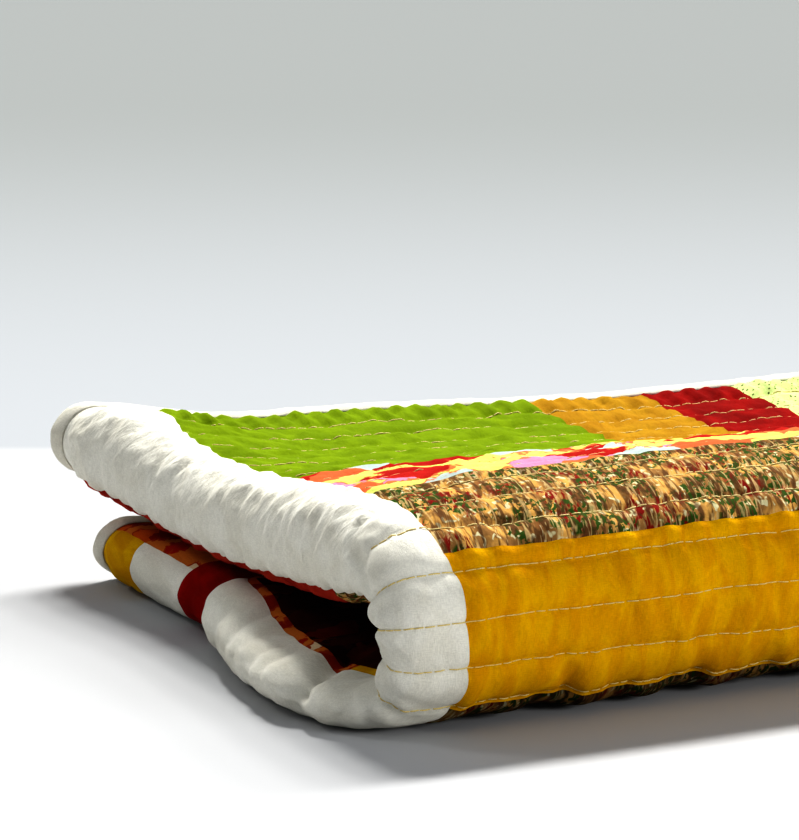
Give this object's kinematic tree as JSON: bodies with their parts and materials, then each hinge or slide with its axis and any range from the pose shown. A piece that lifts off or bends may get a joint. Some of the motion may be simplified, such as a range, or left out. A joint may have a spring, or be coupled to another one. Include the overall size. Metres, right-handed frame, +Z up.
{
  "type": "folded baby quilt",
  "caption": "Patchwork baby quilt with stitched rows, folded in quarters: a fat roll along the front, a soft loop at one end, bound edges at the back and other end.",
  "frame": {"origin": "on the surface it lies on, under the middle of the folded quilt's box", "axes": "+X along the roll, away from the looped end; +Y from the roll to the bound back edges; +Z up"},
  "size_m": [0.5394, 0.4046, 0.1059],
  "materials": {
    "quilted_cloth": "matt cotton patchwork over soft filling, with quilting rows in thread",
    "binding_cloth": "matt off-white cotton, folded double over the rim"
  },
  "bodies": {
    "root": {"quilt_layers": "quilted_cloth", "binding_upper_side": "binding_cloth", "binding_lower_side": "binding_cloth", "binding_outer_end": "binding_cloth", "binding_inner_end": "binding_cloth"}
  },
  "joints": []
}
